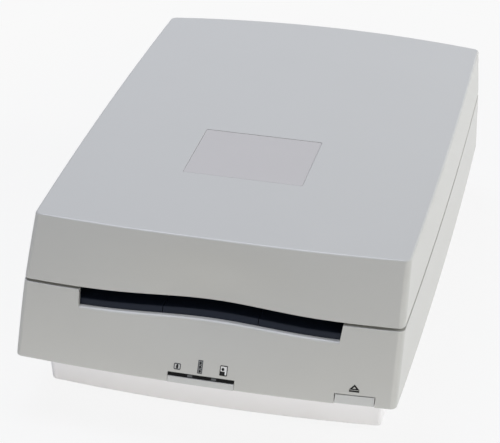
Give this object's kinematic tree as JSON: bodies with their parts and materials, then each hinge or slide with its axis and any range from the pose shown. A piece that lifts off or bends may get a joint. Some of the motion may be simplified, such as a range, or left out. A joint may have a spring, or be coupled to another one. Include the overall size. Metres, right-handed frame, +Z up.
{
  "type": "photo scanner",
  "caption": "Desktop photo scanner with a leaning scooped front, one wide media slot, an eject button, a hinged cover and a roller transport inside.",
  "frame": {"origin": "on the table under the middle of the overall box", "axes": "+X to the user's right, -Y out of the slotted front, +Z up"},
  "size_m": [0.2046, 0.3112, 0.0965],
  "materials": {
    "case_plastic": "moulded, fine texture",
    "cover_plastic": "moulded, fine texture",
    "base_plastic": "moulded, fine texture",
    "badge": "satin",
    "guide_plastic": "moulded, smooth",
    "black_plastic": "moulded",
    "button_plastic": "moulded, fine texture",
    "smoked_plastic": "smoked, clear",
    "clear_led": "tinted, clear",
    "rubber": "plain",
    "roller_rubber": "ground",
    "plate_steel": "zinc plated",
    "shaft_steel": "ground",
    "screw_steel": "zinc plated",
    "spring_steel": "rolled",
    "gear_plastic": "natural acetal",
    "pinch_plastic": "moulded",
    "bearing_plastic": "acetal",
    "bush_bronze": "sintered",
    "pinion_brass": "turned",
    "motor_steel": "plated",
    "glass": "polished",
    "mirror": "front silvered",
    "lamp_glass": "coated inside",
    "diffuser": "opal",
    "aluminium": "milled",
    "lens_metal": "black anodised",
    "board_green": "coated laminate",
    "chip_black": "moulded",
    "socket_black": "moulded",
    "port_metal": "plated"
  },
  "bodies": {
    "chassis": {"lower_case": "case_plastic", "base_tray": "base_plastic", "rubber_feet": "rubber", "case_screws": "screw_steel", "chassis_screws": "screw_steel", "hinge_pins": "shaft_steel", "left_side_plate": "plate_steel", "right_side_plate": "plate_steel", "cross_bars": "plate_steel", "transport_deck": "black_plastic", "scan_glass": "glass", "lower_guide_left": "guide_plastic", "lower_guide_center": "guide_plastic", "lower_guide_right": "guide_plastic", "upper_guide": "black_plastic", "film_diffuser": "diffuser", "lamp_holder": "black_plastic", "scan_lamp": "lamp_glass", "film_lamp_housing": "black_plastic", "film_lamp": "lamp_glass", "feed_bushes": "bush_bronze", "pinch_bearings": "bearing_plastic", "pinch_springs": "spring_steel", "idler_studs": "shaft_steel", "stepper_motor": "motor_steel", "optics_plate": "aluminium", "mirror_brackets": "black_plastic", "fold_mirror": "mirror", "lens_mount": "aluminium", "lens_barrel": "lens_metal", "sensor_board": "board_green", "sensor_chip": "chip_black", "main_board": "board_green", "board_components": "chip_black", "power_jack": "socket_black", "data_port": "port_metal", "indicator_bezel": "button_plastic", "indicator_strip": "smoked_plastic", "indicator_lights": "clear_led", "panel_board": "board_green", "eject_switch": "socket_black"},
    "cover": {"top_cover": "cover_plastic", "badge_plate": "badge"},
    "eject_button": {"eject_button": "button_plastic", "switch_plunger": "socket_black"},
    "front_feed": {"front_feed_shaft": "shaft_steel", "front_feed_rollers": "roller_rubber", "front_feed_gear": "gear_plastic"},
    "rear_feed": {"rear_feed_shaft": "shaft_steel", "rear_feed_rollers": "roller_rubber", "rear_feed_gear": "gear_plastic"},
    "front_idler": {"front_idler": "gear_plastic"},
    "middle_idler": {"middle_idler": "gear_plastic"},
    "rear_idler": {"rear_idler": "gear_plastic"},
    "motor_rotor": {"motor_pinion": "pinion_brass"},
    "front_pinch": {"front_pinch_roller": "pinch_plastic"},
    "rear_pinch": {"rear_pinch_roller": "pinch_plastic"}
  },
  "joints": [
    {"name": "cover_hinge", "type": "hinge", "parent": "chassis", "child": "cover", "pos_m": [0, 0.15225, 0.0663], "axis": [-1, 0, 0], "range_deg": [0, 70]},
    {"name": "eject_press", "type": "slide", "parent": "chassis", "child": "eject_button", "axis": [0, 1, 0], "range_m": [0, 0.0012], "stiffness_N_per_m": 1200},
    {"name": "front_feed_spin", "type": "hinge", "parent": "chassis", "child": "front_feed", "pos_m": [0, -0.07175, 0.0533], "axis": [1, 0, 0], "continuous": true},
    {"name": "rear_feed_spin", "type": "hinge", "parent": "chassis", "child": "rear_feed", "pos_m": [0, 0.03825, 0.0533], "axis": [1, 0, 0], "continuous": true},
    {"name": "front_idler_spin", "type": "hinge", "parent": "chassis", "child": "front_idler", "pos_m": [0, -0.04275, 0.0533], "axis": [1, 0, 0], "continuous": true},
    {"name": "middle_idler_spin", "type": "hinge", "parent": "chassis", "child": "middle_idler", "pos_m": [0, -0.01675, 0.0533], "axis": [1, 0, 0], "continuous": true},
    {"name": "rear_idler_spin", "type": "hinge", "parent": "chassis", "child": "rear_idler", "pos_m": [0, 0.00925, 0.0533], "axis": [1, 0, 0], "continuous": true},
    {"name": "motor_spin", "type": "hinge", "parent": "chassis", "child": "motor_rotor", "pos_m": [0, -0.04275, 0.0323], "axis": [1, 0, 0], "continuous": true},
    {"name": "front_pinch_spin", "type": "hinge", "parent": "chassis", "child": "front_pinch", "pos_m": [0, -0.07175, 0.0711], "axis": [1, 0, 0], "continuous": true},
    {"name": "rear_pinch_spin", "type": "hinge", "parent": "chassis", "child": "rear_pinch", "pos_m": [0, 0.03825, 0.0711], "axis": [1, 0, 0], "continuous": true}
  ],
  "couplings": [
    {"joint": "rear_feed_spin", "follows": "front_feed_spin", "ratio": 1},
    {"joint": "front_idler_spin", "follows": "front_feed_spin", "ratio": -1.2308},
    {"joint": "middle_idler_spin", "follows": "front_feed_spin", "ratio": 1.2308},
    {"joint": "rear_idler_spin", "follows": "front_feed_spin", "ratio": -1.2308},
    {"joint": "motor_spin", "follows": "front_feed_spin", "ratio": 2},
    {"joint": "front_pinch_spin", "follows": "front_feed_spin", "ratio": -0.84211},
    {"joint": "rear_pinch_spin", "follows": "front_feed_spin", "ratio": -0.84211}
  ]
}
